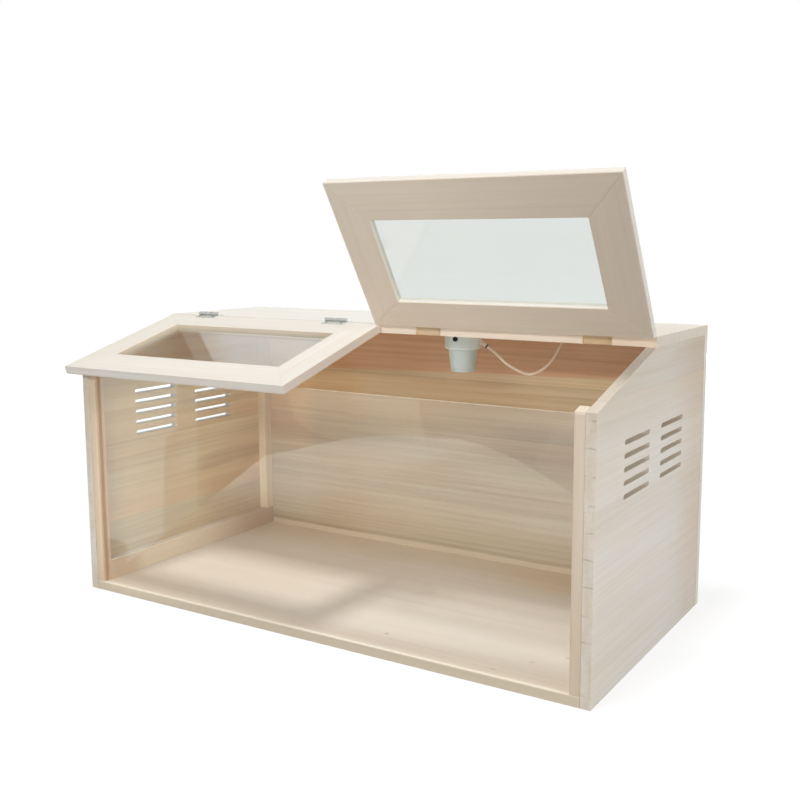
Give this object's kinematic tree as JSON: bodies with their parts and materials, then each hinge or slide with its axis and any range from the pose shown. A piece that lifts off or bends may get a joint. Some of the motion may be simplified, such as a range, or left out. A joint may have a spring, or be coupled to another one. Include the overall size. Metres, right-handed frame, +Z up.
{
  "type": "chick brooder box",
  "caption": "Low wooden brooder box with a clear front sheet, slotted air vents in its ends, hinged glazed lids that slope to the front and a screw-cap bulb holder under the roof board.",
  "frame": {"origin": "middle of the box's underside, on the surface that it stands on", "axes": "+X to the right along the front, the clear front faces -Y, +Z up"},
  "size_m": [0.802, 0.5183, 0.5932],
  "materials": {
    "pale_board": "satin",
    "floor_wood": "satin",
    "inner_wood": "satin",
    "clear_sheet": "clear",
    "hinge_steel": "satin",
    "holder_plastic": "satin",
    "contact_brass": "satin",
    "black_screw": "matt",
    "dark_rubber": "matt",
    "cord_sheath": "satin",
    "plug_plastic": "satin",
    "pin_metal": "polished"
  },
  "bodies": {
    "box": {"floor_board": "floor_wood", "side_panel_left": "pale_board", "side_panel_right": "pale_board", "back_panel": "inner_wood", "roof_board": "pale_board", "front_batten_left": "inner_wood", "front_batten_right": "inner_wood", "rear_batten_left": "inner_wood", "rear_batten_right": "inner_wood", "floor_cleat_left": "floor_wood", "floor_cleat_right": "floor_wood", "front_pane": "clear_sheet", "hinge_1_roof_leaf": "hinge_steel", "hinge_2_roof_leaf": "hinge_steel", "hinge_3_roof_leaf": "hinge_steel", "hinge_4_roof_leaf": "hinge_steel", "hinge_pins": "hinge_steel", "roof_leaf_screws": "hinge_steel", "lamp_canopy": "holder_plastic", "lamp_cup": "holder_plastic", "lamp_screw_shell": "contact_brass", "lamp_contact": "contact_brass", "lamp_strap": "hinge_steel", "lamp_strap_screws": "hinge_steel", "lamp_side_screws": "black_screw", "cord_gland": "dark_rubber", "wall_grommet": "dark_rubber", "cord_lead": "cord_sheath", "cord_coil": "cord_sheath", "cord_ties": "cord_sheath", "plug_body": "plug_plastic", "plug_pins": "pin_metal"},
    "lid_left": {"lid_left_stile_outer": "pale_board", "lid_left_stile_inner": "pale_board", "lid_left_hinge_rail": "pale_board", "lid_left_front_rail": "pale_board", "lid_left_pane": "clear_sheet", "hinge_1_lid_leaf": "hinge_steel", "hinge_2_lid_leaf": "hinge_steel", "lid_left_leaf_screws": "hinge_steel"},
    "lid_right": {"lid_right_stile_outer": "pale_board", "lid_right_stile_inner": "pale_board", "lid_right_hinge_rail": "pale_board", "lid_right_front_rail": "pale_board", "lid_right_pane": "clear_sheet", "hinge_3_lid_leaf": "hinge_steel", "hinge_4_lid_leaf": "hinge_steel", "lid_right_leaf_screws": "hinge_steel"}
  },
  "joints": [
    {"name": "left_lid_hinge", "type": "hinge", "parent": "box", "child": "lid_left", "pos_m": [-0.2, -0.0135, 0.4028], "axis": [-1, 0, 0], "range_deg": [0, 195]},
    {"name": "right_lid_hinge", "type": "hinge", "parent": "box", "child": "lid_right", "pos_m": [0.2, -0.0135, 0.4028], "axis": [-1, 0, 0], "range_deg": [-74, 121]}
  ]
}
